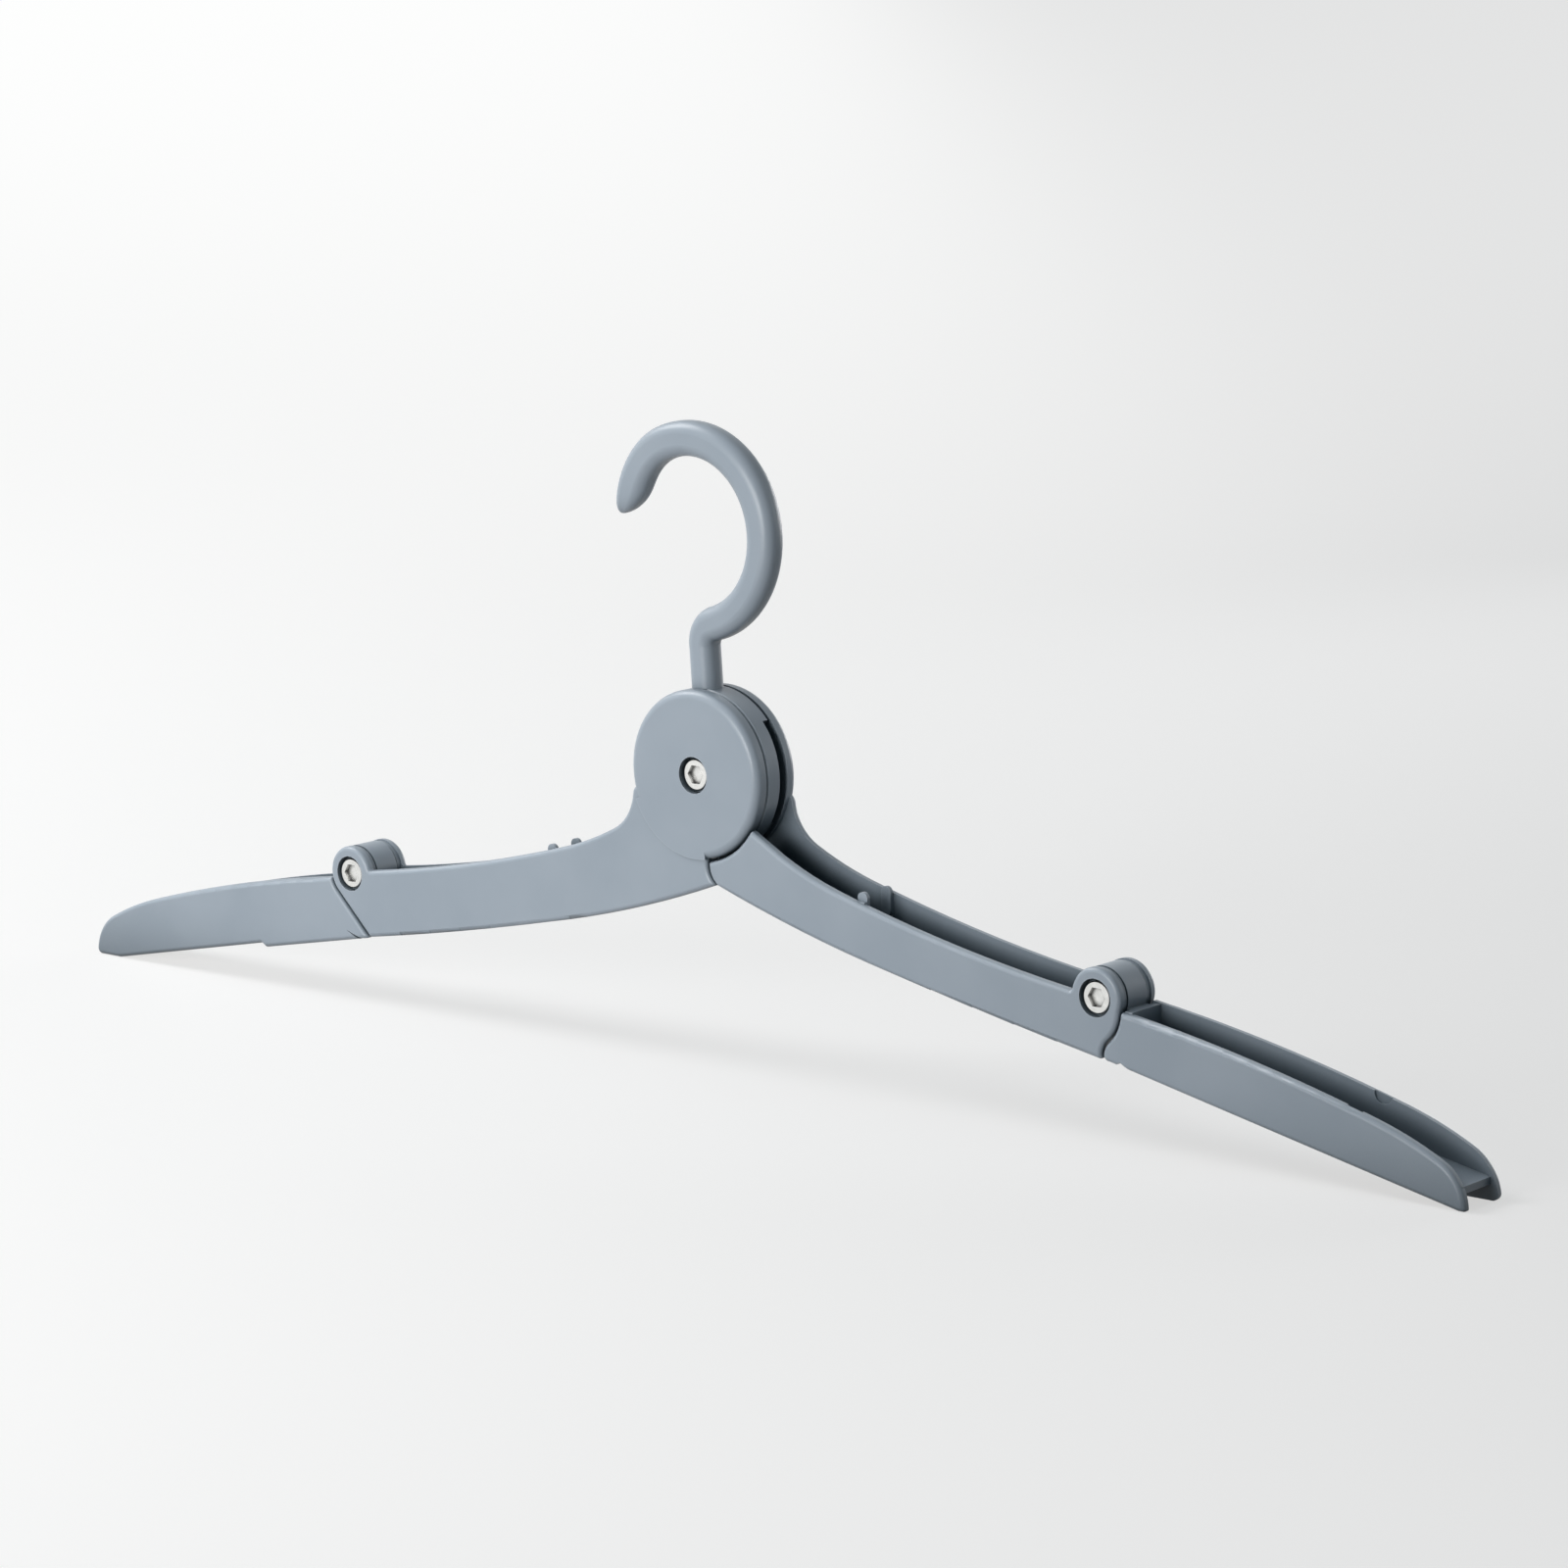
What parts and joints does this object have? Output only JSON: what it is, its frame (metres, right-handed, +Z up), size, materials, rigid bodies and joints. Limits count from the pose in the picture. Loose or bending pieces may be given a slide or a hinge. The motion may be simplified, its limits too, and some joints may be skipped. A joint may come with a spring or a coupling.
{
  "type": "folding travel hanger",
  "caption": "Folding clothes hanger with a round hook and channel arms that fold up beside the hook at a centre pivot, each with an end that folds back over it.",
  "frame": {"origin": "middle of the span, on the plane that the four tips rest on, midway between front and back", "axes": "+X along the span to the right, +Y to the back, +Z up towards the hook"},
  "size_m": [0.3988, 0.0132, 0.1412],
  "materials": {
    "blue_grey_plastic": "fine moulded grain",
    "bright_metal": "bright nickel plate"
  },
  "bodies": {
    "hook_unit": {"hook": "blue_grey_plastic", "centre_screw": "bright_metal", "centre_barrel_nut": "bright_metal"},
    "left_inner": {"left_inner_arm": "blue_grey_plastic", "left_screw": "bright_metal", "left_barrel_nut": "bright_metal"},
    "right_inner": {"right_inner_arm": "blue_grey_plastic", "right_screw": "bright_metal", "right_barrel_nut": "bright_metal"},
    "left_outer": {"left_outer_arm": "blue_grey_plastic"},
    "right_outer": {"right_outer_arm": "blue_grey_plastic"}
  },
  "joints": [
    {"name": "left_arm_fold", "type": "hinge", "parent": "hook_unit", "child": "left_inner", "pos_m": [0, 0, 0.0651], "axis": [0, 1, 0], "range_deg": [0, 72]},
    {"name": "right_arm_fold", "type": "hinge", "parent": "hook_unit", "child": "right_inner", "pos_m": [0, 0, 0.0651], "axis": [0, -1, 0], "range_deg": [0, 72]},
    {"name": "left_end_fold", "type": "hinge", "parent": "left_inner", "child": "left_outer", "pos_m": [-0.109, 0, 0.0305], "axis": [0, 1, 0], "range_deg": [0, 180]},
    {"name": "right_end_fold", "type": "hinge", "parent": "right_inner", "child": "right_outer", "pos_m": [0.109, 0, 0.0305], "axis": [0, -1, 0], "range_deg": [0, 180]}
  ]
}
